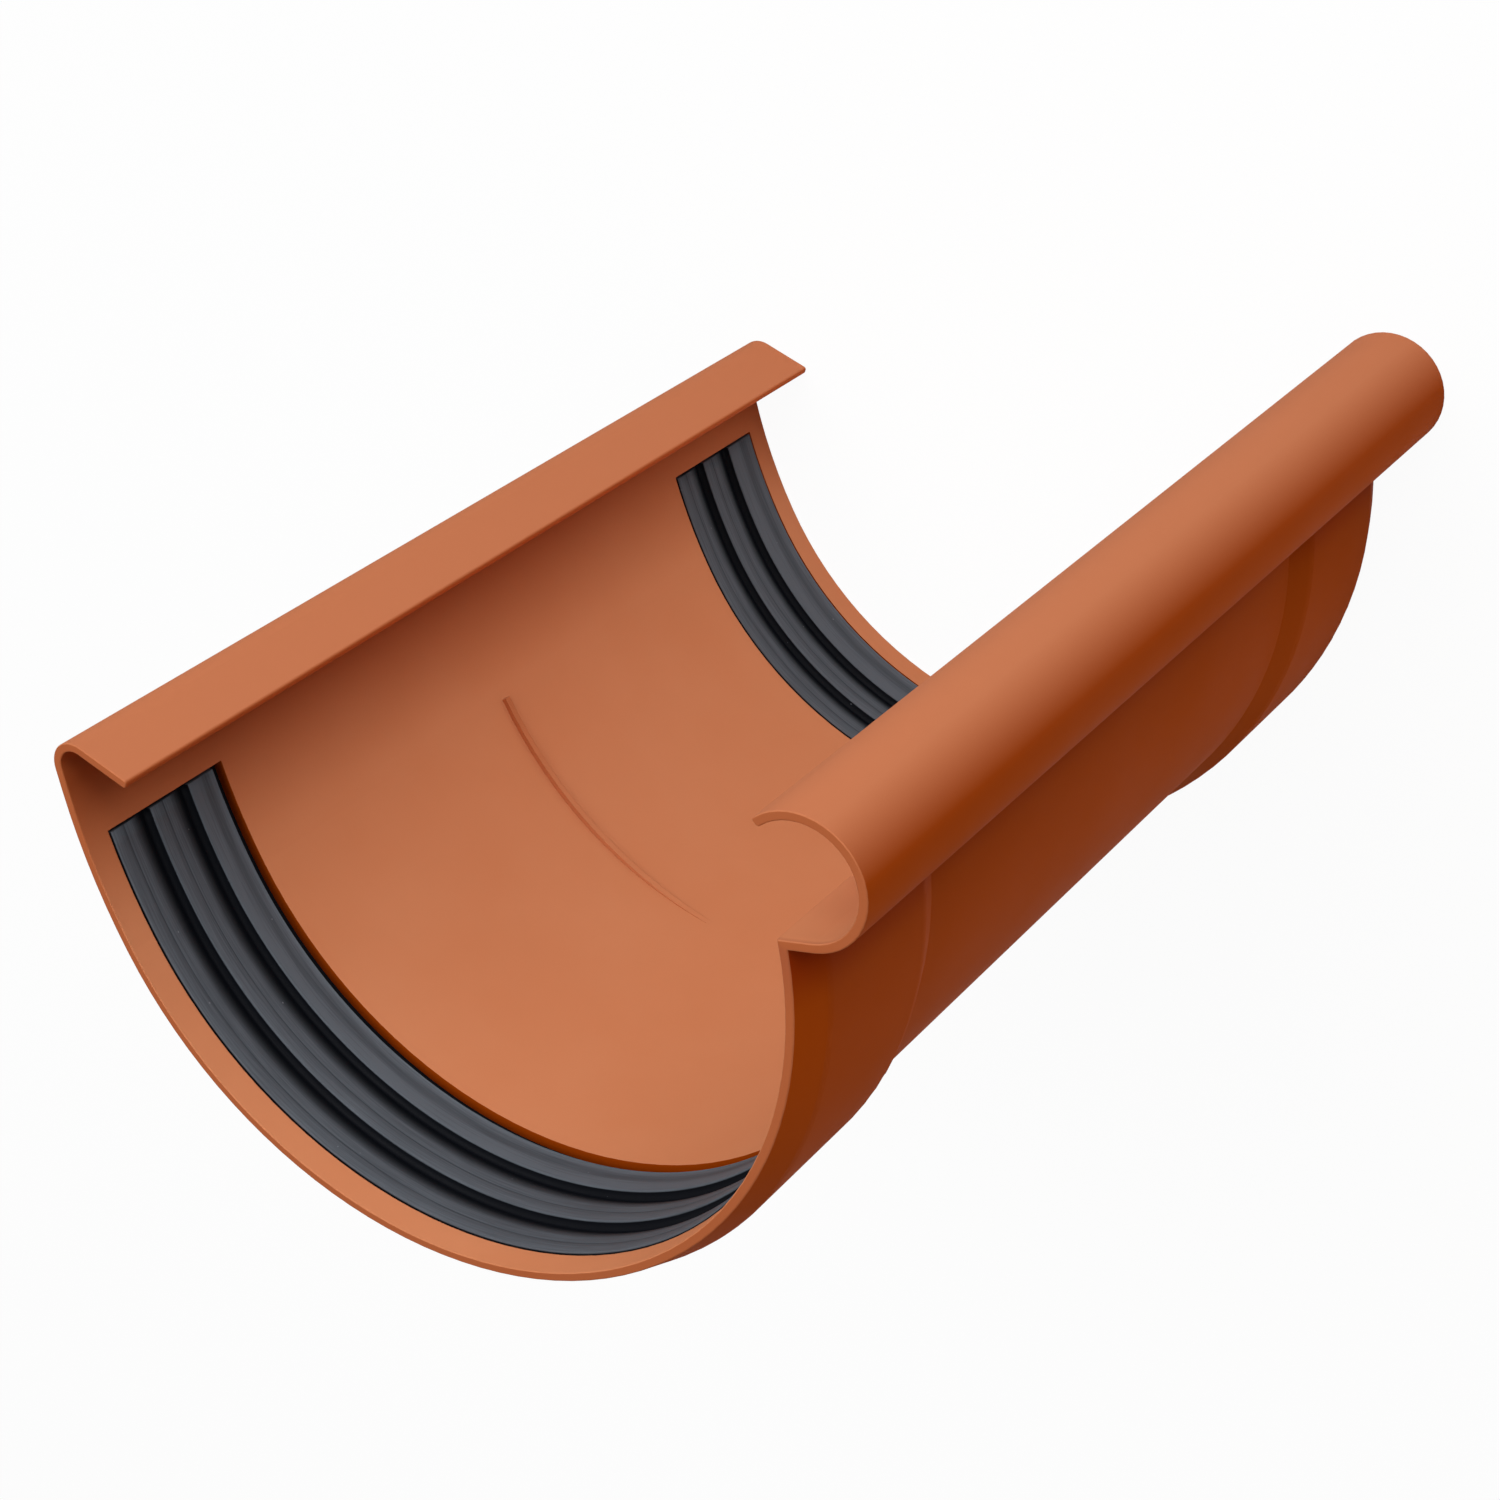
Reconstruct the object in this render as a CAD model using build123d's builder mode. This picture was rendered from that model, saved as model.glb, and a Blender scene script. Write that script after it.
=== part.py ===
from build123d import *
import os
from math import asin, cos, degrees, radians, sin, sqrt

# Gutter union: a half-round moulded shell that joins two gutter lengths end to end.
# Millimetres, +Z up. Round underneath, it rocks on its back, so it is stored standing on one end:
# the gutters run along Z, the front bead is at +X, the rear hook at -X, and the trough opens to +Y.
# The origin lies on the floor, under the middle of the union's outline.

# Shell, with heights in its section counted from the trough's axis towards the open side
length = 200.0
wall = 1.5
trough_radius = 66.5
rim_height = 18.5
edge_chamfer = 0.15
tip_round = 0.5

# Front bead, a C-shaped curl that holds the gutter's own bead
bead_radius = 9.2
ledge_width = 5.7
bead_tip_angle = 123.0

# Rear wall, which leaves the half round and straightens towards the hook
rear_wall_angle = 16.0
rear_wall_radius = 102.5

# Rear hook, a lip folded over the gutter's rear edge
fold_radius = 3.2
lip_slope = 31.5
lip_length = 10.0

# Pocket for the seal near each end, and the housing that bulges out behind it
pocket_start = 5.0
pocket_width = 27.2
pocket_depth = 2.15
pocket_front_drop = 9.0
pocket_rear_height = 0.5
nose_length = 6.3
ramp_length = 5.3
housing_round = 4.0
housing_lap = 0.5

# Stop rib halfway along, which fades out towards the bottom of the trough
stop_rib_width = 1.2
stop_rib_height = 0.9
stop_rib_top_angle = -164.5
stop_rib_foot_angle = -114.0

# Ribbed rubber seal: each rib has a sharp lip towards the end of the union and falls away behind it
seal_seat_gap = 0.2
seal_side_gap = 0.3
seal_end_gap = 0.4
seal_rib_count = 3
seal_rib_rise = 0.4
seal_valley_depth = 1.25
seal_valley_width = 0.8
seal_top_width = 4.6
seal_top_fall = 0.25

# Places that follow from the sizes above, in the section about the trough's axis
bead_outer_radius = bead_radius + wall
bead_x = trough_radius + ledge_width
bead_y = rim_height - bead_outer_radius
ledge_y = bead_y - bead_radius
corner_x = sqrt(trough_radius**2 - ledge_y**2)
corner_angle = degrees(asin(ledge_y / trough_radius))
rear_centre_x = (rear_wall_radius - trough_radius) * cos(radians(rear_wall_angle))
rear_centre_y = (rear_wall_radius - trough_radius) * sin(radians(rear_wall_angle))
rear_start = rear_wall_angle - 180.0
rear_face_x = rear_centre_x - rear_wall_radius
fold_y = rim_height - wall - fold_radius
housing_offset = wall + pocket_depth
ramp_start = pocket_start + pocket_width
housing_end = ramp_start + ramp_length
pocket_front_angle = corner_angle - degrees(pocket_front_drop / trough_radius)
seal_front_angle = pocket_front_angle - degrees(seal_end_gap / trough_radius)
seal_start = pocket_start + seal_side_gap
seal_end = ramp_start - seal_side_gap
seal_rib_pitch = (seal_end - seal_start + seal_valley_width) / seal_rib_count
seal_rib_width = seal_rib_pitch - seal_valley_width

# The outline is centred on X and Y
front_reach = bead_x + bead_outer_radius
rear_reach = housing_offset - rear_face_x
bottom_reach = trough_radius + housing_offset
axis_x = (rear_reach - front_reach) / 2
axis_y = (bottom_reach - rim_height) / 2
section = Plane(origin=(axis_x, axis_y, 0))
middle = section.offset(length / 2)


def rear_angle(height):
    """Angle about the rear wall's own centre at a height above the trough's axis."""
    return -180.0 - degrees(asin((height - rear_centre_y) / rear_wall_radius))


def polar(radius, angle):
    """Point of the section at a radius and an angle about the trough's axis."""
    return (radius * cos(radians(angle)), radius * sin(radians(angle)))


def trough_line(front_angle, rear_height):
    """Inner line of the trough, from an angle below the front corner to a height on the rear wall."""
    end_angle = rear_angle(rear_height)
    with BuildLine(section) as line:
        CenterArc((0, 0), trough_radius, front_angle, rear_start - front_angle)
        CenterArc((rear_centre_x, rear_centre_y), rear_wall_radius, rear_start, end_angle - rear_start)
    return line.wire()


def end_profile(line):
    """Plane across the start of a trough line: x runs down from the upper end, y runs outwards."""
    start = line @ 0
    return Plane(origin=(start.X, start.Y, length), x_dir=(0, 0, -1), z_dir=line % 0)


# Moulded shell: one line along the inside, thickened outwards and drawn up to the full length
with BuildPart() as union_body:
    with BuildSketch(section) as shell_section:
        with BuildLine() as inside:
            curl = CenterArc((bead_x, bead_y), bead_radius, bead_tip_angle, -90.0 - bead_tip_angle)
            Line((bead_x, ledge_y), (corner_x, ledge_y))
            CenterArc((0, 0), trough_radius, corner_angle, rear_start - corner_angle)
            CenterArc((rear_centre_x, rear_centre_y), rear_wall_radius, rear_start, -rear_wall_angle)
            Line((rear_face_x, rear_centre_y), (rear_face_x, fold_y))
            fold = CenterArc((rear_face_x + fold_radius, fold_y), fold_radius, 180.0, -90.0 - lip_slope)
            lip = PolarLine(fold @ 1, lip_length, -lip_slope)
            offset(amount=wall, side=Side.LEFT, kind=Kind.INTERSECTION)
        make_face()
        corners = shell_section.vertices()
        curl_tip = corners.sort_by_distance(curl @ 0)[:2]
        lip_tip = corners.sort_by_distance(lip @ 1)[:2]
        fillet(curl_tip + lip_tip, tip_round)
    extrude(amount=length)
    end_faces = union_body.faces().filter_by(Axis.Z)
    chamfer(end_faces.edges(), edge_chamfer)

    # Housings, raised by the depth of the pocket so that the wall keeps its thickness
    housing_line = trough_line(corner_angle - housing_lap, rear_centre_y)
    with BuildSketch(end_profile(housing_line)) as housing_profile:
        with BuildLine():
            Polyline(
                (edge_chamfer, wall / 2),
                (edge_chamfer, wall),
                (nose_length, housing_offset),
                (ramp_start, housing_offset),
                (housing_end, wall),
                (housing_end, wall / 2),
                close=True,
            )
        make_face()
        fillet(housing_profile.vertices().group_by(Axis.Y)[-1], housing_round)
    housing = sweep(path=housing_line)
    mirror(housing, about=middle)

    # Pockets cut into the housings from inside the trough
    pocket_line = trough_line(pocket_front_angle, pocket_rear_height)
    with BuildSketch(end_profile(pocket_line)):
        with Locations((pocket_start, 0)):
            Rectangle(pocket_width, 2 * pocket_depth, align=(Align.MIN, Align.CENTER))
    pocket = sweep(path=pocket_line, mode=Mode.PRIVATE)
    add(pocket, mode=Mode.SUBTRACT)
    mirror(pocket, about=middle, mode=Mode.SUBTRACT)

    # Stop rib, a thin crescent standing on the trough's inner face
    rib_top, rib_foot = stop_rib_top_angle, stop_rib_foot_angle
    rib_middle = (rib_top + rib_foot) / 2
    with BuildSketch(middle):
        with BuildLine():
            crest = ThreePointArc(
                polar(trough_radius - stop_rib_height, rib_top),
                polar(trough_radius - stop_rib_height, rib_middle),
                polar(trough_radius, rib_foot),
            )
            root = ThreePointArc(
                polar(trough_radius + wall / 2, rib_top),
                polar(trough_radius + wall / 2, rib_middle),
                polar(trough_radius + wall / 2, rib_foot),
            )
            Line(crest @ 0, root @ 0)
            Line(crest @ 1, root @ 1)
        make_face()
    extrude(amount=stop_rib_width / 2, both=True)

# Seal at the upper end: a strip on the pocket's floor with ribs that stand proud of the trough
with BuildPart() as seal_upper:
    seal_line = trough_line(seal_front_angle, pocket_rear_height - seal_end_gap)
    with BuildSketch(end_profile(seal_line)):
        with BuildLine():
            for rib in range(seal_rib_count):
                near = seal_start + rib * seal_rib_pitch
                far = near + seal_rib_width
                Polyline(
                    (near, seal_valley_depth),
                    (near, -seal_rib_rise),
                    (near + seal_top_width, seal_top_fall - seal_rib_rise),
                    (far, seal_valley_depth),
                )
                if rib < seal_rib_count - 1:
                    Line((far, seal_valley_depth), (near + seal_rib_pitch, seal_valley_depth))
            Polyline(
                (seal_end, seal_valley_depth),
                (seal_end, pocket_depth - seal_seat_gap),
                (seal_start, pocket_depth - seal_seat_gap),
                (seal_start, seal_valley_depth),
            )
        make_face()
    sweep(path=seal_line)

with BuildPart() as seal_lower:
    mirror(seal_upper.part, about=middle)

os.makedirs("parts", exist_ok=True)
union_body.part.label = "union_body"
export_step(union_body.part, "parts/union_body.step")
seal_upper.part.label = "seal_upper"
export_step(seal_upper.part, "parts/seal_upper.step")
seal_lower.part.label = "seal_lower"
export_step(seal_lower.part, "parts/seal_lower.step")
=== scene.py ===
"""Looks of a half-round gutter union: moulded PVC shell and two ribbed rubber seals."""
import math

import bmesh
import bpy
from mathutils import Matrix, Vector


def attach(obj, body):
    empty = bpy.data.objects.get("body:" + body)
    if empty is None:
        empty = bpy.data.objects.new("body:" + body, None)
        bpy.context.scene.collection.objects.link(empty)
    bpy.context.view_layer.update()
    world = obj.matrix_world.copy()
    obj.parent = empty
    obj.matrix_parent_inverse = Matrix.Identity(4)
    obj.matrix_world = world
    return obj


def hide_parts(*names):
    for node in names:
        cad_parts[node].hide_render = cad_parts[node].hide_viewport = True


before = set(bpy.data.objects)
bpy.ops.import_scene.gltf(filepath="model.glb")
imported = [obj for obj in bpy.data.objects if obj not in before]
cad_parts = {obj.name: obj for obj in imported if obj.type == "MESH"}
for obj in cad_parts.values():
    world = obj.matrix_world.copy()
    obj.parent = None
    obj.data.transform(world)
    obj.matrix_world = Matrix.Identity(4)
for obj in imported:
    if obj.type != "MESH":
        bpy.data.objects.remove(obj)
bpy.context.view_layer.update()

bl_info = {
    "name": "Gutter Union",
    "version": (1, 0, 0),
    "blender": (4, 5, 0),
    "location": "View3D > Sidebar > Gutter Union",
    "description": "Finishes a moulded gutter union and its ribbed seals around their packed solids",
    "category": "Object",
}

MM = 0.001

# Section of the trough, from its axis, which stands upright; the open side faces +Y
LENGTH = 200.0 * MM
AXIS_X = -5.675 * MM
AXIS_Y = 25.825 * MM
TROUGH_RADIUS = 66.5 * MM
REAR_RADIUS = 102.5 * MM
REAR_WALL_ANGLE = 16.0
BEAD_X = 72.2 * MM
BEAD_Y = 7.8 * MM
BEAD_RADIUS = 9.2 * MM
WALL = 1.5 * MM

# Borders of the shell's painted light and shade: heights from the trough's axis, places along X, gaps
# and depths
LIP_SHADE_TOP = 11 * MM
LIP_SHADE_FOOT = -16 * MM
LIP_SHADE_X = (-40 * MM, -20 * MM)
LEDGE_SHADE_TOP = -4 * MM
LEDGE_SHADE_FOOT = -14 * MM
LEDGE_SHADE_X = 40 * MM
BEAD_SHADE_GAP = (0.2 * MM, 1.2 * MM)
LEDGE_HEIGHT = -1 * MM
STOP_RIB_TOP = -17 * MM
STOP_RIB_SHADE = (-18 * MM, -58 * MM)
STOP_RIB_REACH = 0.7 * MM
STOP_RIB_PROUD = 0.06 * MM
END_FACE_DEPTH = (1 * MM, 0.2 * MM)
CURL_END_DEPTH = (15 * MM, 2 * MM)

# Number of the seal's faces that stay flat: its foot, inner side, back and outer side
FLAT_SEAL_FACES = 4

# Inputs and output of a Mix node, by number because its names repeat for each type of data
VALUE_A, VALUE_B = 2, 3
COLOUR_A, COLOUR_B = 6, 7
MIXED_COLOUR = 2

# Settings that several nodes share
MIX_COLOURS = {"data_type": "RGBA"}
SMOOTH_STEP = {"interpolation_type": "SMOOTHSTEP"}

# Camera, solved from the edges in the photograph
CAMERA_PLACE = (0.29188, 0.20264, 0.49136)
CAMERA_AIM = (-0.010735, 0.004569, 0.106083)
CAMERA_ROLL = -127.318
CAMERA_LENS = 73.123
SENSOR_WIDTH = 36.0


def linear(hex_colour):
    """Linear RGBA of an sRGB hex colour such as C77955."""
    channels = [int(hex_colour[i:i + 2], 16) / 255 for i in (0, 2, 4)]
    return tuple(c / 12.92 if c <= 0.04045 else ((c + 0.055) / 1.055) ** 2.4 for c in channels) + (1.0,)


def add_node(tree, kind, settings=None, inputs=None):
    """Add a node, set its properties, and set or link its inputs."""
    node = tree.nodes.new(kind)
    for name, value in (settings or {}).items():
        setattr(node, name, value)
    for name, value in (inputs or {}).items():
        if isinstance(value, bpy.types.NodeSocket):
            tree.links.new(value, node.inputs[name])
        else:
            node.inputs[name].default_value = value
    return node


def new_material(name):
    """An empty node material and its node tree."""
    material = bpy.data.materials.new(name)
    material.use_nodes = True
    material.node_tree.nodes.clear()
    return material, material.node_tree


class GutterBodySettings(bpy.types.PropertyGroup):
    """Finish of the moulded shell, with the colours of its painted light and shade."""

    # The PVC's own colour, given to the inside as its lit colour; it looks paler only beside the outside's
    # painted shade, not from water or daylight
    colour: bpy.props.FloatVectorProperty(
        name="Colour", description="Colour of the PVC inside the trough, paled by water and daylight",
        subtype="COLOR", size=4, min=0.0, max=1.0, default=linear("C47B54"))
    # Painted light: the lit copy of the PVC's colour for the outside's up-facing faces, the bead's top and
    # the lip, a little darker than the inside's colour to tone down their stronger light; no daylight pales
    # it
    lit_top_colour: bpy.props.FloatVectorProperty(
        name="Top colour",
        description="Colour of the PVC on the bead's top and the lip, which only daylight pales",
        subtype="COLOR", size=4, min=0.0, max=1.0, default=linear("B46C49"))
    # Painted shade: the PVC's colour deepened for the outside's upright faces, which turn from the light
    side_shade_colour: bpy.props.FloatVectorProperty(
        name="Deep colour", description="Deeper colour of the outside's upright faces",
        subtype="COLOR", size=4, min=0.0, max=1.0, default=linear("993C02"))
    # Painted shade for the outside where it looks down, a little lighter than the upright faces as painted
    # light bounced from below; not rubbing on racks or floors
    underside_shade_colour: bpy.props.FloatVectorProperty(
        name="Under colour",
        description="Colour of the outside where it looks down, rubbed on racks and floors",
        subtype="COLOR", size=4, min=0.0, max=1.0, default=linear("B44A08"))
    # Painted shadow of the bead's ledge on the outside close under it
    ledge_shadow_colour: bpy.props.FloatVectorProperty(
        name="Shelter colour", description="Colour of the outside close under the bead's ledge",
        subtype="COLOR", size=4, min=0.0, max=1.0, default=linear("8A2A00"))
    # Paler PVC: the melt's clouds, and a painted highlight along the edges rather than handling
    cloud_and_edge_highlight_colour: bpy.props.FloatVectorProperty(
        name="Pale colour", description="Colour where handling and edges have paled the PVC",
        subtype="COLOR", size=4, min=0.0, max=1.0, default=linear("CC8862"))
    # Painted light: a paler copy of the PVC's colour, so that the curl's inside and the ledge look as
    # bright as the trough though they get less light
    curl_light_colour: bpy.props.FloatVectorProperty(
        name="Curl colour",
        description="Colour inside the curl and on the ledge, the palest part of the PVC",
        subtype="COLOR", size=4, min=0.0, max=1.0, default=linear("DF8D61"))
    roughness: bpy.props.FloatProperty(
        name="Roughness", description="Roughness of the moulded face",
        subtype="FACTOR", min=0.0, max=1.0, default=0.70)
    grain: bpy.props.FloatProperty(
        name="Grain", description="Width of one grain of the mould's texture",
        subtype="DISTANCE", unit="LENGTH", min=0.05 * MM, max=5 * MM, default=0.45 * MM)
    edge_softness: bpy.props.FloatProperty(
        name="Edge softness", description="Radius at which light rolls over the moulded edges",
        subtype="DISTANCE", unit="LENGTH", min=0.0, max=2 * MM, default=0.2 * MM)


class GutterSealSettings(bpy.types.PropertyGroup):
    """Shape and finish of the two ribbed seals."""

    start: bpy.props.FloatProperty(
        name="Start", description="Distance of the seal from the end of the union",
        subtype="DISTANCE", unit="LENGTH", min=0.0, default=5.3 * MM)
    end: bpy.props.FloatProperty(
        name="End", description="Distance of the seal's inner side from the end of the union",
        subtype="DISTANCE", unit="LENGTH", min=0.0, default=31.9 * MM)
    rib_count: bpy.props.IntProperty(
        name="Ribs", description="Number of ribs side by side", min=1, max=8, default=3)
    rib_rise: bpy.props.FloatProperty(
        name="Rib rise", description="How far the ribs stand proud of the trough",
        subtype="DISTANCE", unit="LENGTH", min=0.0, max=2 * MM, default=0.4 * MM)
    valley_depth: bpy.props.FloatProperty(
        name="Valley depth", description="Depth of the valleys below the trough's face",
        subtype="DISTANCE", unit="LENGTH", min=0.0, max=5 * MM, default=1.25 * MM)
    valley_width: bpy.props.FloatProperty(
        name="Valley width", description="Width of the valleys between the ribs",
        subtype="DISTANCE", unit="LENGTH", min=0.0, max=5 * MM, default=0.8 * MM)
    top_width: bpy.props.FloatProperty(
        name="Top width", description="Width of each rib's top, behind its lip",
        subtype="DISTANCE", unit="LENGTH", min=0.0, max=8 * MM, default=4.6 * MM)
    top_fall: bpy.props.FloatProperty(
        name="Top fall", description="How far each rib's top slopes down behind its lip",
        subtype="DISTANCE", unit="LENGTH", min=0.0, max=1 * MM, default=0.25 * MM)
    lip_round: bpy.props.FloatProperty(
        name="Lip rounding", description="Radius of each rib's lip",
        subtype="DISTANCE", unit="LENGTH", min=0.0, max=1 * MM, default=0.25 * MM)
    last_top_width: bpy.props.FloatProperty(
        name="Last top width",
        description="Width of the last rib's top in the upper seal, which runs almost to the seal's side",
        subtype="DISTANCE", unit="LENGTH", min=0.0, max=8 * MM, default=6.1 * MM)
    outer_top_width: bpy.props.FloatProperty(
        name="Outer top width",
        description="Width of the last rib's top in the lower seal, where it meets the pocket's side",
        subtype="DISTANCE", unit="LENGTH", min=0.0, max=9 * MM, default=8.1 * MM)
    foot_depth: bpy.props.FloatProperty(
        name="Foot depth", description="Depth of the thin foot beside the last rib",
        subtype="DISTANCE", unit="LENGTH", min=0.0, max=5 * MM, default=1.7 * MM)
    crease_depth: bpy.props.FloatProperty(
        name="Crease depth", description="Depth of the fine crease along each rib's top",
        subtype="DISTANCE", unit="LENGTH", min=0.0, max=0.5 * MM, default=0.08 * MM)
    floor_depth: bpy.props.FloatProperty(
        name="Floor depth", description="Depth of the seal's back below the trough's face",
        subtype="DISTANCE", unit="LENGTH", min=0.0, max=5 * MM, default=1.95 * MM)
    front_angle: bpy.props.FloatProperty(
        name="Front angle",
        description="Angle about the trough's axis at which the seal starts below the bead",
        subtype="ANGLE", unit="ROTATION", default=math.radians(-9.306))
    rear_height: bpy.props.FloatProperty(
        name="Rear height", description="Height of the seal's rear end above the trough's axis",
        subtype="DISTANCE", unit="LENGTH", default=0.1 * MM)
    # Near black: the rubber darkened into painted shade for the deep valleys
    colour: bpy.props.FloatVectorProperty(
        name="Colour", description="Colour of the rubber in the valleys",
        subtype="COLOR", size=4, min=0.0, max=1.0, default=linear("090B10"))
    # Grey bloom, brightened into painted light on the lips and tops
    bloom_and_light_colour: bpy.props.FloatVectorProperty(
        name="Bloom colour", description="Grey bloom on the crests of the ribs",
        subtype="COLOR", size=4, min=0.0, max=1.0, default=linear("565B62"))


class GutterStageSettings(bpy.types.PropertyGroup):
    """Floor and light."""

    floor_colour: bpy.props.FloatVectorProperty(
        name="Floor colour", description="Colour of the pale floor",
        subtype="COLOR", size=4, min=0.0, max=1.0, default=linear("F2F2F2"))
    key_power: bpy.props.FloatProperty(
        name="Key power",
        description="Power of the large soft light that faces the open side from above",
        unit="POWER", min=0.0, default=13.0)
    front_power: bpy.props.FloatProperty(
        name="Front power", description="Power of the soft light beside the front bead",
        unit="POWER", min=0.0, default=10.0)
    top_power: bpy.props.FloatProperty(
        name="Top power", description="Power of the soft light over the upper end",
        unit="POWER", min=0.0, default=7.0)
    ambient: bpy.props.FloatProperty(
        name="Ambient", description="Strength of the light from all round",
        min=0.0, max=2.0, default=0.03)


def moulded_pvc(settings):
    """Terracotta PVC, injection moulded in a spark-eroded mould: nearly matt, with a fine grain and
    slow clouds where the melt flowed. Light and shade are painted into the colour: the inside and the
    outside's top get lit colours, the rest of the outside gets painted shade, and the edges a painted
    highlight."""
    material, tree = new_material("moulded_terracotta_pvc")
    place = add_node(tree, "ShaderNodeTexCoord").outputs["Object"]
    # Clouds of the flowing melt, about 30 mm across, which vary the colour and the roughness
    clouds = add_node(tree, "ShaderNodeTexNoise", inputs={
        "Vector": place, "Scale": 1 / (30 * MM), "Detail": 3.0, "Roughness": 0.55})
    cloud_mask = add_node(tree, "ShaderNodeMapRange", inputs={
        "Value": clouds.outputs["Fac"], "From Min": 0.35, "From Max": 0.75, "To Max": 0.35})
    # Grain of the mould, drawn coarser than its real 0.15 mm so that it shows
    grain = add_node(tree, "ShaderNodeTexNoise", inputs={
        "Vector": place, "Scale": 1 / settings.grain, "Detail": 2.0, "Roughness": 0.6})
    # Light rolls over the moulded edges, and a painted highlight pales them a little
    soft = add_node(tree, "ShaderNodeBevel", settings={"samples": 6}, inputs={
        "Radius": settings.edge_softness})
    true_normal = add_node(tree, "ShaderNodeNewGeometry").outputs["Normal"]
    turn = add_node(tree, "ShaderNodeVectorMath", settings={"operation": "DOT_PRODUCT"}, inputs={
        0: soft.outputs["Normal"], 1: true_normal})
    edge_highlight_mask = add_node(tree, "ShaderNodeMapRange", inputs={
        "Value": turn.outputs["Value"], "From Min": 0.99, "From Max": 0.80, "To Max": 0.08})
    # Painted light and shade by facing: the inside gets the lit colour all over, the outside a lit top
    # colour only where it looks up to the open side, and painted shade elsewhere
    towards_axis = add_node(tree, "ShaderNodeVectorMath", settings={"operation": "SUBTRACT"}, inputs={
        0: (AXIS_X, AXIS_Y, 0.0), 1: place})
    across = add_node(tree, "ShaderNodeVectorMath", settings={"operation": "MULTIPLY"}, inputs={
        0: towards_axis.outputs["Vector"], 1: (1.0, 1.0, 0.0)})
    inward = add_node(tree, "ShaderNodeVectorMath", settings={"operation": "NORMALIZE"}, inputs={
        0: across.outputs["Vector"]})
    facing = add_node(tree, "ShaderNodeTexCoord").outputs["Normal"]
    inside = add_node(tree, "ShaderNodeVectorMath", settings={"operation": "DOT_PRODUCT"}, inputs={
        0: facing, 1: inward.outputs["Vector"]})
    inside_mask = add_node(tree, "ShaderNodeMapRange", settings=SMOOTH_STEP, inputs={
        "Value": inside.outputs["Value"], "From Min": 0.2, "From Max": 0.9})
    # Under the lip the rear wall is in the lip's shade, painted as more of the outside's deeper colour the
    # higher it stands
    spot = add_node(tree, "ShaderNodeSeparateXYZ", inputs={"Vector": place})
    below_lip = add_node(tree, "ShaderNodeMapRange", inputs={
        "Value": spot.outputs["Y"], "From Min": AXIS_Y + LIP_SHADE_FOOT,
        "From Max": AXIS_Y + LIP_SHADE_TOP, "To Min": 1.0, "To Max": 0.25})
    front_half = add_node(tree, "ShaderNodeMapRange", inputs={
        "Value": spot.outputs["X"], "From Min": LIP_SHADE_X[0], "From Max": LIP_SHADE_X[1]})
    out_of_lip_shade = add_node(tree, "ShaderNodeMath", settings={"operation": "MAXIMUM"}, inputs={
        0: below_lip.outputs["Result"], 1: front_half.outputs["Result"]})
    # The stop rib's sides and crest get less of the lit colour than the wall around it, and least at its
    # top: painted shade on the rib. It counts as the rib from 0.06 mm proud, which is more than the facets
    # of the wall stand in
    from_middle = add_node(tree, "ShaderNodeMath", settings={"operation": "SUBTRACT"}, inputs={
        0: spot.outputs["Z"], 1: LENGTH / 2})
    reach = add_node(tree, "ShaderNodeMath", settings={"operation": "ABSOLUTE"}, inputs={
        0: from_middle.outputs["Value"]})
    near_rib = add_node(tree, "ShaderNodeMath", settings={"operation": "LESS_THAN"}, inputs={
        0: reach.outputs["Value"], 1: STOP_RIB_REACH})
    radius = add_node(tree, "ShaderNodeVectorMath", settings={"operation": "LENGTH"}, inputs={
        0: across.outputs["Vector"]})
    proud = add_node(tree, "ShaderNodeMath", settings={"operation": "LESS_THAN"}, inputs={
        0: radius.outputs["Value"], 1: TROUGH_RADIUS - STOP_RIB_PROUD})
    low = add_node(tree, "ShaderNodeMath", settings={"operation": "LESS_THAN"}, inputs={
        0: spot.outputs["Y"], 1: AXIS_Y + STOP_RIB_TOP})
    rib_side = add_node(tree, "ShaderNodeMath", settings={"operation": "MULTIPLY"}, inputs={
        0: near_rib.outputs["Value"], 1: proud.outputs["Value"]})
    on_rib = add_node(tree, "ShaderNodeMath", settings={"operation": "MULTIPLY"}, inputs={
        0: rib_side.outputs["Value"], 1: low.outputs["Value"]})
    within = add_node(tree, "ShaderNodeMath", settings={"operation": "MAXIMUM"}, inputs={
        0: inside_mask.outputs["Result"], 1: on_rib.outputs["Value"]})
    rib_light_share = add_node(tree, "ShaderNodeMapRange", inputs={
        "Value": spot.outputs["Y"], "From Min": AXIS_Y + STOP_RIB_SHADE[0],
        "From Max": AXIS_Y + STOP_RIB_SHADE[1], "To Min": 0.45, "To Max": 0.9})
    rib_veil = add_node(tree, "ShaderNodeMix", inputs={
        0: on_rib.outputs["Value"], VALUE_A: 1.0, VALUE_B: rib_light_share.outputs["Result"]})
    veiled = add_node(tree, "ShaderNodeMath", settings={"operation": "MULTIPLY"}, inputs={
        0: within.outputs["Value"], 1: rib_veil.outputs[0]})
    # Share of the lit colour: painted light, with less of it in the lip's shade and on the stop rib
    lit_share = add_node(tree, "ShaderNodeMath", settings={"operation": "MULTIPLY"}, inputs={
        0: veiled.outputs["Value"], 1: out_of_lip_shade.outputs["Value"]})
    parts = add_node(tree, "ShaderNodeSeparateXYZ", inputs={"Vector": facing})
    up_mask = add_node(tree, "ShaderNodeMapRange", inputs={
        "Value": parts.outputs["Y"], "From Min": 0.05, "From Max": 0.85})
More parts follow.
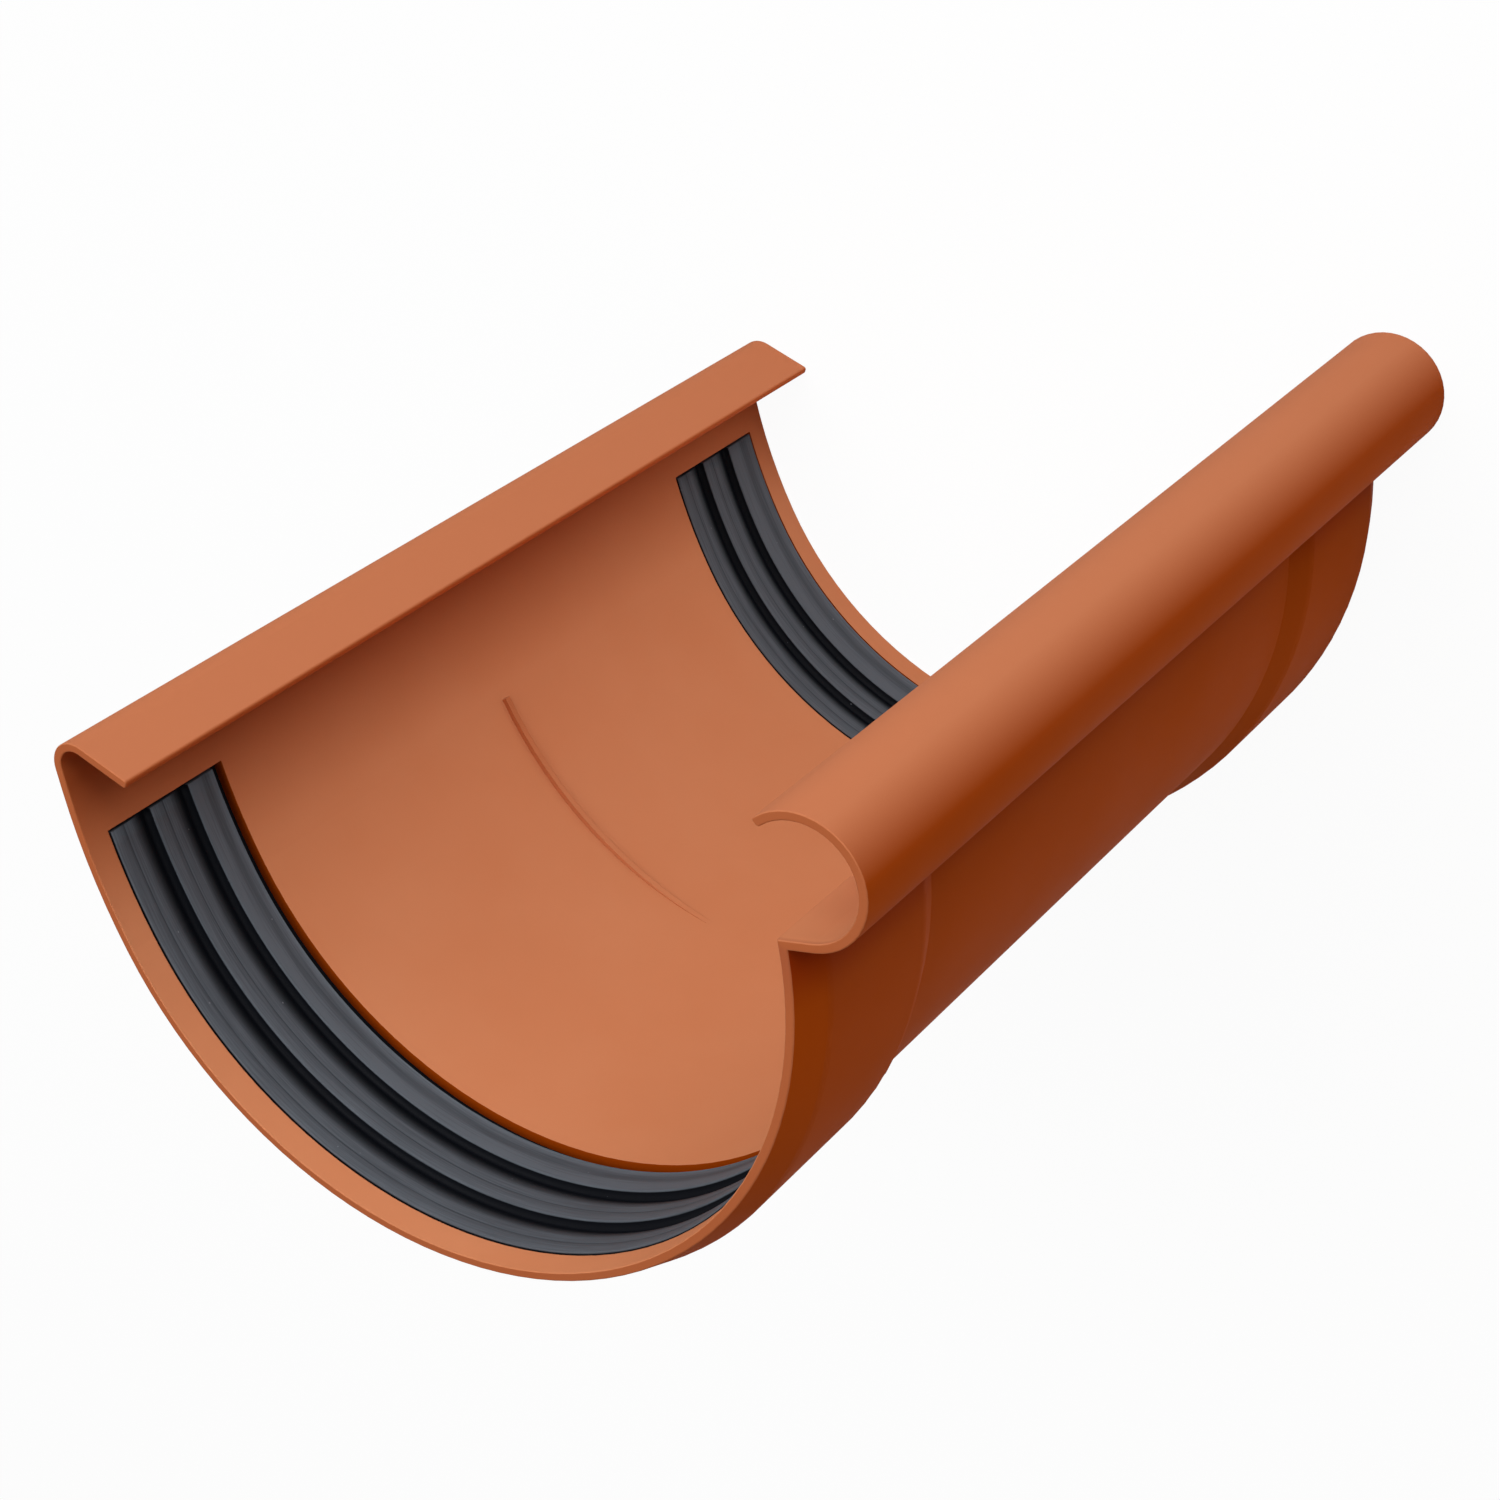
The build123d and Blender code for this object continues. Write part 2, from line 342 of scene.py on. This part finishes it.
    # The two end faces, in the last millimetre of the length: they take up to 0.42 of the lit colour, and
    # the rest is the outside's painted light and shade
    last_mm = add_node(tree, "ShaderNodeMapRange", inputs={
        "Value": reach.outputs["Value"], "From Min": LENGTH / 2 - END_FACE_DEPTH[0],
        "From Max": LENGTH / 2 - END_FACE_DEPTH[1]})
    upright = add_node(tree, "ShaderNodeMath", settings={"operation": "ABSOLUTE"}, inputs={
        0: parts.outputs["Z"]})
    level = add_node(tree, "ShaderNodeMapRange", inputs={
        "Value": upright.outputs["Value"], "From Min": 0.45, "From Max": 0.68, "To Max": 0.42})
    end_mask = add_node(tree, "ShaderNodeMath", settings={"operation": "MULTIPLY"}, inputs={
        0: last_mm.outputs["Result"], 1: level.outputs["Result"]})
    # The clouds of the melt show in the lit colour of the inside
    clouded = add_node(tree, "ShaderNodeMix", settings=MIX_COLOURS, inputs={
        0: cloud_mask.outputs["Result"],
        COLOUR_A: tuple(settings.colour), COLOUR_B: tuple(settings.cloud_and_edge_highlight_colour)})
    from_bead = add_node(tree, "ShaderNodeVectorMath", settings={"operation": "SUBTRACT"}, inputs={
        0: place, 1: (AXIS_X + BEAD_X, AXIS_Y + BEAD_Y, 0.0)})
    flat = add_node(tree, "ShaderNodeVectorMath", settings={"operation": "MULTIPLY"}, inputs={
        0: from_bead.outputs["Vector"], 1: (1.0, 1.0, 0.0)})
    bead_distance = add_node(tree, "ShaderNodeVectorMath", settings={"operation": "LENGTH"}, inputs={
        0: flat.outputs["Vector"]})
    # Painted shade on the outside: deepest under the ledge, where the ledge's shadow is painted, and
    # lighter again where it looks down, as painted light bounced from below
    down_mask = add_node(tree, "ShaderNodeMapRange", settings=SMOOTH_STEP, inputs={
        "Value": parts.outputs["Y"], "From Min": 0.0, "From Max": -0.6})
    side = add_node(tree, "ShaderNodeMix", settings=MIX_COLOURS, inputs={
        0: down_mask.outputs["Result"],
        COLOUR_A: tuple(settings.side_shade_colour), COLOUR_B: tuple(settings.underside_shade_colour)})
    # Painted shadow under the ledge: on the front only, strongest just under it and fading downwards
    under_ledge = add_node(tree, "ShaderNodeMapRange", settings=SMOOTH_STEP, inputs={
        "Value": spot.outputs["Y"], "From Min": AXIS_Y + LEDGE_SHADE_FOOT,
        "From Max": AXIS_Y + LEDGE_SHADE_TOP})
    below_bead = add_node(tree, "ShaderNodeMapRange", inputs={
        "Value": bead_distance.outputs["Value"], "From Min": BEAD_RADIUS + WALL + BEAD_SHADE_GAP[0],
        "From Max": BEAD_RADIUS + WALL + BEAD_SHADE_GAP[1]})
    front = add_node(tree, "ShaderNodeMath", settings={"operation": "GREATER_THAN"}, inputs={
        0: spot.outputs["X"], 1: LEDGE_SHADE_X})
    ledge_shadow_front = add_node(tree, "ShaderNodeMath", settings={"operation": "MULTIPLY"}, inputs={
        0: under_ledge.outputs["Result"], 1: front.outputs["Value"]})
    ledge_shadow_mask = add_node(tree, "ShaderNodeMath", settings={"operation": "MULTIPLY"}, inputs={
        0: ledge_shadow_front.outputs["Value"], 1: below_bead.outputs["Result"]})
    flank = add_node(tree, "ShaderNodeMix", settings=MIX_COLOURS, inputs={
        0: ledge_shadow_mask.outputs["Value"],
        COLOUR_A: side.outputs[MIXED_COLOUR], COLOUR_B: tuple(settings.ledge_shadow_colour)})
    # Painted light on the outside: its up-facing faces take the lit top colour
    outside = add_node(tree, "ShaderNodeMix", settings=MIX_COLOURS, inputs={
        0: up_mask.outputs["Result"],
        COLOUR_A: flank.outputs[MIXED_COLOUR], COLOUR_B: tuple(settings.lit_top_colour)})
    # Painted light and shade: the lit colour where it is shared out above, and the outside's colours
    # elsewhere
    open_mask = add_node(tree, "ShaderNodeMath", settings={"operation": "MAXIMUM"}, inputs={
        0: lit_share.outputs["Value"], 1: end_mask.outputs["Value"]})
    lit_or_shaded = add_node(tree, "ShaderNodeMix", settings=MIX_COLOURS, inputs={
        0: open_mask.outputs["Value"],
        COLOUR_A: outside.outputs[MIXED_COLOUR], COLOUR_B: clouded.outputs[MIXED_COLOUR]})
    # Painted light: the curl's inner face and the ledge's top get the palest colour, as bright as the
    # trough though they get less light; near the ends, where light reaches them, they are as the trough
    in_curl = add_node(tree, "ShaderNodeMapRange", inputs={
        "Value": bead_distance.outputs["Value"], "From Min": BEAD_RADIUS + WALL * 0.4,
        "From Max": BEAD_RADIUS + WALL * 0.2})
    level_top = add_node(tree, "ShaderNodeMath", settings={"operation": "GREATER_THAN"}, inputs={
        0: parts.outputs["Y"], 1: 0.8})
    under_axis = add_node(tree, "ShaderNodeMath", settings={"operation": "LESS_THAN"}, inputs={
        0: spot.outputs["Y"], 1: AXIS_Y + LEDGE_HEIGHT})
    beyond = add_node(tree, "ShaderNodeMath", settings={"operation": "GREATER_THAN"}, inputs={
        0: spot.outputs["X"], 1: AXIS_X + TROUGH_RADIUS - 0.1 * MM})
    ledge_low = add_node(tree, "ShaderNodeMath", settings={"operation": "MULTIPLY"}, inputs={
        0: level_top.outputs["Value"], 1: under_axis.outputs["Value"]})
    on_ledge = add_node(tree, "ShaderNodeMath", settings={"operation": "MULTIPLY"}, inputs={
        0: ledge_low.outputs["Value"], 1: beyond.outputs["Value"]})
    hollow = add_node(tree, "ShaderNodeMath", settings={"operation": "MAXIMUM"}, inputs={
        0: in_curl.outputs["Result"], 1: on_ledge.outputs["Value"]})
    near_end = add_node(tree, "ShaderNodeMapRange", inputs={
        "Value": reach.outputs["Value"], "From Min": LENGTH / 2 - CURL_END_DEPTH[0],
        "From Max": LENGTH / 2 - CURL_END_DEPTH[1]})
    lit_end = add_node(tree, "ShaderNodeMath", settings={"operation": "MULTIPLY"}, inputs={
        0: near_end.outputs["Result"], 1: up_mask.outputs["Result"]})
    curl_light_tone = add_node(tree, "ShaderNodeMix", settings=MIX_COLOURS, inputs={
        0: lit_end.outputs["Value"],
        COLOUR_A: tuple(settings.curl_light_colour), COLOUR_B: tuple(settings.colour)})
    shell = add_node(tree, "ShaderNodeMix", settings=MIX_COLOURS, inputs={
        0: hollow.outputs["Value"],
        COLOUR_A: lit_or_shaded.outputs[MIXED_COLOUR], COLOUR_B: curl_light_tone.outputs[MIXED_COLOUR]})
    ended = add_node(tree, "ShaderNodeMix", settings=MIX_COLOURS, inputs={
        0: last_mm.outputs["Result"],
        COLOUR_A: shell.outputs[MIXED_COLOUR], COLOUR_B: lit_or_shaded.outputs[MIXED_COLOUR]})
    # Painted highlight along the edges
    colour = add_node(tree, "ShaderNodeMix", settings=MIX_COLOURS, inputs={
        0: edge_highlight_mask.outputs["Result"],
        COLOUR_A: ended.outputs[MIXED_COLOUR], COLOUR_B: tuple(settings.cloud_and_edge_highlight_colour)})
    rough = add_node(tree, "ShaderNodeMapRange", inputs={
        "Value": clouds.outputs["Fac"], "From Min": 0.3, "From Max": 0.7,
        "To Min": settings.roughness - 0.05, "To Max": settings.roughness + 0.05})
    # Slow unevenness of a thin wall that has shrunk on its mould
    waves = add_node(tree, "ShaderNodeTexNoise", inputs={
        "Vector": place, "Scale": 1 / (18 * MM), "Detail": 1.0})
    wave_bump = add_node(tree, "ShaderNodeBump", inputs={
        "Strength": 0.5, "Distance": 0.12 * MM, "Height": waves.outputs["Fac"],
        "Normal": soft.outputs["Normal"]})
    grain_bump = add_node(tree, "ShaderNodeBump", inputs={
        "Strength": 0.35, "Distance": 0.03 * MM, "Height": grain.outputs["Fac"],
        "Normal": wave_bump.outputs["Normal"]})
    # The gloss is far below that of bare PVC, because any more lays a haze of the white stage over
    # the deep outside
    shader = add_node(tree, "ShaderNodeBsdfPrincipled", inputs={
        "Base Color": colour.outputs[MIXED_COLOUR], "Roughness": rough.outputs["Result"], "IOR": 1.53,
        "Specular IOR Level": 0.025, "Normal": grain_bump.outputs["Normal"]})
    add_node(tree, "ShaderNodeOutputMaterial", inputs={"Surface": shader.outputs["BSDF"]})
    return material


def moulded_rubber(settings):
    """EPDM rubber, moulded: nearly black and matt, with a grey bloom on the crests, fine flow lines
    along the ribs and a little dust. The bloom also carries painted light on the lips and painted shade in
    the valleys."""
    material, tree = new_material("moulded_epdm_rubber")
    along = add_node(tree, "ShaderNodeUVMap", settings={"uv_map": "sweep"}).outputs["UV"]
    # Flow lines: 12 mm long and 0.35 mm wide
    stretch = add_node(tree, "ShaderNodeMapping", inputs={
        "Vector": along, "Scale": (1 / (12 * MM), 1 / (0.35 * MM), 1.0)})
    lines = add_node(tree, "ShaderNodeTexNoise", inputs={
        "Vector": stretch.outputs["Vector"], "Scale": 1.0, "Detail": 3.0, "Roughness": 0.6})
    # The bloom and its painted light are written on the seal's mesh: 1 on a lip, 0 in a valley, which is
    # left in painted shade
    crest = add_node(tree, "ShaderNodeAttribute", settings={"attribute_name": "crest"})
    streaks = add_node(tree, "ShaderNodeMapRange", inputs={
        "Value": lines.outputs["Fac"], "From Min": 0.25, "From Max": 0.75, "To Min": 0.65, "To Max": 1.15})
    bloom_and_light = add_node(tree, "ShaderNodeMath", settings={"operation": "MULTIPLY", "use_clamp": True}, inputs={
        0: crest.outputs["Fac"], 1: streaks.outputs["Result"]})
    colour = add_node(tree, "ShaderNodeMix", settings=MIX_COLOURS, inputs={
        0: bloom_and_light.outputs["Value"],
        COLOUR_A: tuple(settings.colour), COLOUR_B: tuple(settings.bloom_and_light_colour)})
    place = add_node(tree, "ShaderNodeTexCoord").outputs["Object"]
    # Moulded skin with a grain of 0.3 mm, and dust specks about 0.4 mm across
    grain = add_node(tree, "ShaderNodeTexNoise", inputs={
        "Vector": place, "Scale": 1 / (0.3 * MM), "Detail": 2.0})
    specks = add_node(tree, "ShaderNodeTexVoronoi", inputs={"Vector": place, "Scale": 1 / (4 * MM)})
    speck_mask = add_node(tree, "ShaderNodeMapRange", inputs={
        "Value": specks.outputs["Distance"], "From Min": 0.03, "From Max": 0.05,
        "To Min": 0.5, "To Max": 0.0})
    dusted = add_node(tree, "ShaderNodeMix", settings=MIX_COLOURS, inputs={
        0: speck_mask.outputs["Result"],
        COLOUR_A: colour.outputs[MIXED_COLOUR], COLOUR_B: linear("7A7D84")})
    rough = add_node(tree, "ShaderNodeMapRange", inputs={
        "Value": lines.outputs["Fac"], "From Min": 0.3, "From Max": 0.7, "To Min": 0.50, "To Max": 0.64})
    line_bump = add_node(tree, "ShaderNodeBump", inputs={
        "Strength": 0.5, "Distance": 0.03 * MM, "Height": lines.outputs["Fac"]})
    grain_bump = add_node(tree, "ShaderNodeBump", inputs={
        "Strength": 0.4, "Distance": 0.03 * MM, "Height": grain.outputs["Fac"],
        "Normal": line_bump.outputs["Normal"]})
    # The gloss is low here too, or the valleys turn grey
    shader = add_node(tree, "ShaderNodeBsdfPrincipled", inputs={
        "Base Color": dusted.outputs[MIXED_COLOUR], "Roughness": rough.outputs["Result"], "IOR": 1.5,
        "Specular IOR Level": 0.06, "Normal": grain_bump.outputs["Normal"]})
    add_node(tree, "ShaderNodeOutputMaterial", inputs={"Surface": shader.outputs["BSDF"]})
    return material


# Bands across a rib's top, from its lip: share of the top's width, crease (1 is the full depth) and
# bloom with painted light. The last rib has a broader groove, and its far edge gets a painted
# highlight as its lip does
RIB_BANDS = (
    (0.3, 0.0, 0.9), (0.5, 0.0, 0.75), (0.56, 0.0, 0.75), (0.60, 1.0, 0.4), (0.64, 0.0, 0.8),
    (0.8, 0.0, 0.85))
LAST_RIB_BANDS = (
    (0.2, 0.0, 1.15), (0.4, 0.0, 1.0), (0.5, 0.3, 0.75), (0.62, 1.0, 0.65), (0.74, 0.3, 0.8),
    (0.86, 0.0, 1.05), (1.0, 0.0, 1.1))
LAST_RIB_FALL = 0.5 * MM
LIP_STEPS = 4
FALL_STEPS = 12


def seal_profile(settings, last_top):
    """Points round the seal's section: distance along the gutter, counted from the end of the union
    for the upper seal, depth below the trough's face, and bloom with painted light, which fades to
    painted shade down each fall into the valley. Each rib has a wall, a rounded lip, a creased top and a
    rounded fall. The last rib's top has a width of its own. The foot, the inner side, the back and the
    outer side follow."""
    pitch = (settings.end - settings.start + settings.valley_width) / settings.rib_count
    crest = -settings.rib_rise
    shoulder = crest + settings.top_fall
    lip = settings.lip_round
    points = []
    for rib in range(settings.rib_count):
        near = settings.start + rib * pitch
        last = rib == settings.rib_count - 1
        top = last_top if last else settings.top_width
        fall = pitch - settings.valley_width - top
        if last:
            fall = min(LAST_RIB_FALL, fall)
        foot = settings.foot_depth if last else settings.valley_depth
        lip_bloom_and_light = 1.15 if last else 1.0
        points.append((near, settings.valley_depth, 0.0))
        points.append((near, crest + lip + 0.1 * MM, 0.0))
        for i in range(1, LIP_STEPS + 1):
            turn = math.pi / 2 * i / LIP_STEPS
            depth = crest + lip * (1 - math.sin(turn))
            points.append((near + lip * (1 - math.cos(turn)), depth, lip_bloom_and_light))
        for along, dip, bloom_and_light in LAST_RIB_BANDS if last else RIB_BANDS:
            across = lip + along * (top - lip)
            depth = crest + settings.top_fall * along + settings.crease_depth * dip
            points.append((near + across, depth, bloom_and_light))
        for i in range(FALL_STEPS + 1):
            share = i / FALL_STEPS
            depth = shoulder + (foot - shoulder) * (1 - math.cos(math.pi / 2 * share))
            points.append((near + top + fall * share, depth, 0.8 * (1 - share) ** 3))
    points.append((settings.end, settings.foot_depth, 0.0))
    points.append((settings.end, settings.floor_depth, 0.0))
    points.append((settings.start, settings.floor_depth, 0.0))
    return points


def seal_path(settings):
    """Places along the trough's face from the seal's front end to its rear end: point, outward
    direction and length so far."""
    step = math.radians(1.5)
    rear_start = math.radians(REAR_WALL_ANGLE) - math.pi
    rear_x = (REAR_RADIUS - TROUGH_RADIUS) * math.cos(math.radians(REAR_WALL_ANGLE))
    rear_y = (REAR_RADIUS - TROUGH_RADIUS) * math.sin(math.radians(REAR_WALL_ANGLE))
    rear_end = -math.pi - math.asin((settings.rear_height - rear_y) / REAR_RADIUS)
    path = []
    run = 0.0
    for centre, radius, first, last in (
            ((0.0, 0.0), TROUGH_RADIUS, settings.front_angle, rear_start),
            ((rear_x, rear_y), REAR_RADIUS, rear_start, rear_end)):
        count = max(1, round(abs(last - first) / step))
        for i in range(count + 1):
            # The second arc starts where the first ends
            if path and i == 0:
                continue
            angle = first + (last - first) * i / count
            out = Vector((math.cos(angle), math.sin(angle), 0.0))
            point = Vector((AXIS_X + centre[0], AXIS_Y + centre[1], 0.0)) + out * radius
            path.append((point, out, run + radius * abs(angle - first)))
        run += radius * abs(last - first)
    return path


def seal_mesh(name, settings, from_top):
    """Sweep the seal's section along the trough's face, with the sweep as its UV map. The lips of both
    seals look up, towards the upper end."""
    profile = seal_profile(settings, settings.last_top_width if from_top else settings.outer_top_width)
    path = seal_path(settings)
    mesh = bpy.data.meshes.new(name)
    builder = bmesh.new()
    crest_layer = builder.verts.layers.float.new("crest")
    uv_layer = builder.loops.layers.uv.new("sweep")
    across = [0.0]
    for a, b in zip(profile, profile[1:] + profile[:1]):
        across.append(across[-1] + math.dist(a[:2], b[:2]))
    rings = []
    for point, out, run in path:
        ring = []
        for distance, depth, crest in profile:
            height = LENGTH - distance if from_top else settings.start + settings.end - distance
            vert = builder.verts.new(point + out * depth + Vector((0.0, 0.0, height)))
            vert[crest_layer] = crest
            ring.append(vert)
        rings.append((ring, run))
    count = len(profile)
    for (ring_a, run_a), (ring_b, run_b) in zip(rings, rings[1:]):
        for i in range(count):
            j = (i + 1) % count
            corners = [
                (ring_a[i], run_a, i), (ring_a[j], run_a, i + 1),
                (ring_b[j], run_b, i + 1), (ring_b[i], run_b, i)]
            face = builder.faces.new([c[0] for c in corners])
            face.smooth = i < count - FLAT_SEAL_FACES
            for loop, corner in zip(face.loops, corners):
                loop[uv_layer].uv = (corner[1], across[corner[2]])
    for ring, run in (rings[0], rings[-1]):
        face = builder.faces.new(ring)
        for loop, v in zip(face.loops, across):
            loop[uv_layer].uv = (run, v)
    bmesh.ops.recalc_face_normals(builder, faces=builder.faces)
    builder.to_mesh(mesh)
    builder.free()
    piece = bpy.data.objects.new(name, mesh)
    bpy.context.scene.collection.objects.link(piece)
    return piece


class GutterBodyOperator(bpy.types.Operator):
    """Give the moulded shell its PVC finish"""

    bl_idname = "gutter_union.body"
    bl_label = "Finish the shell"

    def execute(self, context):
        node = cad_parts["union_body"]
        material = moulded_pvc(context.scene.gutter_body)
        node.data.materials.clear()
        node.data.materials.append(material)
        return {"FINISHED"}


class GutterSealsOperator(bpy.types.Operator):
    """Make the two ribbed seals in place of their plain solids"""

    bl_idname = "gutter_union.seals"
    bl_label = "Make the seals"

    def execute(self, context):
        settings = context.scene.gutter_seal
        material = moulded_rubber(settings)
        for name, node, from_top in (
                ("ribbed_seal_upper", "seal_upper", True), ("ribbed_seal_lower", "seal_lower", False)):
            piece = seal_mesh(name, settings, from_top)
            piece.data.materials.append(material)
            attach(piece, "root")
            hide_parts(node)
        return {"FINISHED"}


class GutterStageOperator(bpy.types.Operator):
    """Set up the floor, the lights and the camera"""

    bl_idname = "gutter_union.stage"
    bl_label = "Set the stage"

    def execute(self, context):
        settings = context.scene.gutter_stage
        self.add_floor(settings)
        self.add_world(settings)
        self.add_light("key_softbox", (0.0, 0.7, 0.7), settings.key_power)
        self.add_light("front_softbox", (0.7, 0.7, 0.15), settings.front_power)
        self.add_light("top_softbox", (0.0, 0.1, 1.0), settings.top_power)
        self.add_camera(context)
        return {"FINISHED"}

    def add_floor(self, settings):
        """A wide pale floor that shows the camera its own colour and a faint shadow."""
        half = 4.0
        own_white = 0.95
        mesh = bpy.data.meshes.new("studio_floor")
        corners = [(-half, -half, 0), (half, -half, 0), (half, half, 0), (-half, half, 0)]
        mesh.from_pydata(corners, [], [(0, 1, 2, 3)])
        floor = bpy.data.objects.new("studio_floor", mesh)
        bpy.context.scene.collection.objects.link(floor)
        material, tree = new_material("matt_studio_paper")
        place = add_node(tree, "ShaderNodeTexCoord").outputs["Object"]
        # Fibres of the paper, about 2 mm, too faint to see from here
        fibres = add_node(tree, "ShaderNodeTexNoise", inputs={"Vector": place, "Scale": 1 / (2 * MM)})
        bump = add_node(tree, "ShaderNodeBump", inputs={
            "Strength": 0.1, "Distance": 0.05 * MM, "Height": fibres.outputs["Fac"]})
        paper = add_node(tree, "ShaderNodeBsdfDiffuse", inputs={
            "Color": tuple(settings.floor_colour), "Normal": bump.outputs["Normal"]})
        white = add_node(tree, "ShaderNodeEmission", inputs={"Color": (1, 1, 1, 1), "Strength": 1.0})
        rays = add_node(tree, "ShaderNodeLightPath")
        seen = add_node(tree, "ShaderNodeMath", settings={"operation": "MULTIPLY"}, inputs={
            0: self.seen_by(tree, rays), 1: own_white})
        mixed = add_node(tree, "ShaderNodeMixShader", inputs={
            "Fac": seen.outputs["Value"], 1: paper.outputs["BSDF"], 2: white.outputs["Emission"]})
        add_node(tree, "ShaderNodeOutputMaterial", inputs={"Surface": mixed.outputs["Shader"]})
        floor.data.materials.append(material)

    def seen_by(self, tree, rays):
        """1 for the rays that show the background: from the camera, or by way of gloss or glass."""
        gloss = add_node(tree, "ShaderNodeMath", settings={"operation": "MAXIMUM"}, inputs={
            0: rays.outputs["Is Glossy Ray"], 1: rays.outputs["Is Transmission Ray"]})
        seen = add_node(tree, "ShaderNodeMath", settings={"operation": "MAXIMUM"}, inputs={
            0: rays.outputs["Is Camera Ray"], 1: gloss.outputs["Value"]})
        return seen.outputs["Value"]

    def add_world(self, settings):
        """Even light from all round, with a white background for the camera."""
        world = bpy.data.worlds.new("studio")
        world.use_nodes = True
        tree = world.node_tree
        tree.nodes.clear()
        rays = add_node(tree, "ShaderNodeLightPath")
        strength = add_node(tree, "ShaderNodeMapRange", inputs={
            "Value": self.seen_by(tree, rays), "To Min": settings.ambient, "To Max": 1.0})
        back = add_node(tree, "ShaderNodeBackground", inputs={
            "Color": (1, 1, 1, 1), "Strength": strength.outputs["Result"]})
        add_node(tree, "ShaderNodeOutputWorld", inputs={"Surface": back.outputs["Background"]})
        bpy.context.scene.world = world

    def add_light(self, name, direction, power, distance=1.3, size=1.2):
        """A square softbox that faces the union's middle."""
        target = Vector((0.0, 0.0, LENGTH / 2))
        away = Vector(direction).normalized()
        data = bpy.data.lights.new(name, "AREA")
        data.shape = "SQUARE"
        data.size = size
        data.energy = power
        light = bpy.data.objects.new(name, data)
        light.matrix_world = Matrix.Translation(target + away * distance) @ \
            away.to_track_quat("Z", "Y").to_matrix().to_4x4()
        bpy.context.scene.collection.objects.link(light)

    def add_camera(self, context):
        """The camera of the photograph: it looks down along the trough, rolled on its side."""
        data = bpy.data.cameras.new("photo_camera")
        data.sensor_width = SENSOR_WIDTH
        data.sensor_fit = "HORIZONTAL"
        data.lens = CAMERA_LENS
        data.clip_start = 0.01
        data.clip_end = 20.0
        camera = bpy.data.objects.new("photo_camera", data)
        place = Vector(CAMERA_PLACE)
        turn = (Vector(CAMERA_AIM) - place).to_track_quat("-Z", "Y").to_matrix()
        turn = turn @ Matrix.Rotation(math.radians(CAMERA_ROLL), 3, "Z")
        camera.matrix_world = Matrix.Translation(place) @ turn.to_4x4()
        context.scene.collection.objects.link(camera)
        context.scene.camera = camera
        context.scene.view_settings.view_transform = "Standard"


class GutterPanel(bpy.types.Panel):
    """Sizes, colours and steps of the gutter union"""

    bl_idname = "VIEW3D_PT_gutter_union"
    bl_label = "Gutter Union"
    bl_space_type = "VIEW_3D"
    bl_region_type = "UI"
    bl_category = "Gutter Union"

    def draw(self, context):
        layout = self.layout
        for owner, operator in (
                ("gutter_body", "gutter_union.body"), ("gutter_seal", "gutter_union.seals"),
                ("gutter_stage", "gutter_union.stage")):
            box = layout.box()
            settings = getattr(context.scene, owner)
            for name in settings.__annotations__:
                box.prop(settings, name)
            box.operator(operator)


CLASSES = (
    GutterBodySettings, GutterSealSettings, GutterStageSettings,
    GutterBodyOperator, GutterSealsOperator, GutterStageOperator, GutterPanel,
)


def register():
    for cls in CLASSES:
        bpy.utils.register_class(cls)
    bpy.types.Scene.gutter_body = bpy.props.PointerProperty(type=GutterBodySettings)
    bpy.types.Scene.gutter_seal = bpy.props.PointerProperty(type=GutterSealSettings)
    bpy.types.Scene.gutter_stage = bpy.props.PointerProperty(type=GutterStageSettings)


def unregister():
    del bpy.types.Scene.gutter_stage
    del bpy.types.Scene.gutter_seal
    del bpy.types.Scene.gutter_body
    for cls in reversed(CLASSES):
        bpy.utils.unregister_class(cls)


def main():
    """Finish the shell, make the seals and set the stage."""
    register()
    bpy.ops.gutter_union.body()
    bpy.ops.gutter_union.seals()
    bpy.ops.gutter_union.stage()
    bpy.context.view_layer.update()


if __name__ == "__main__":
    main()
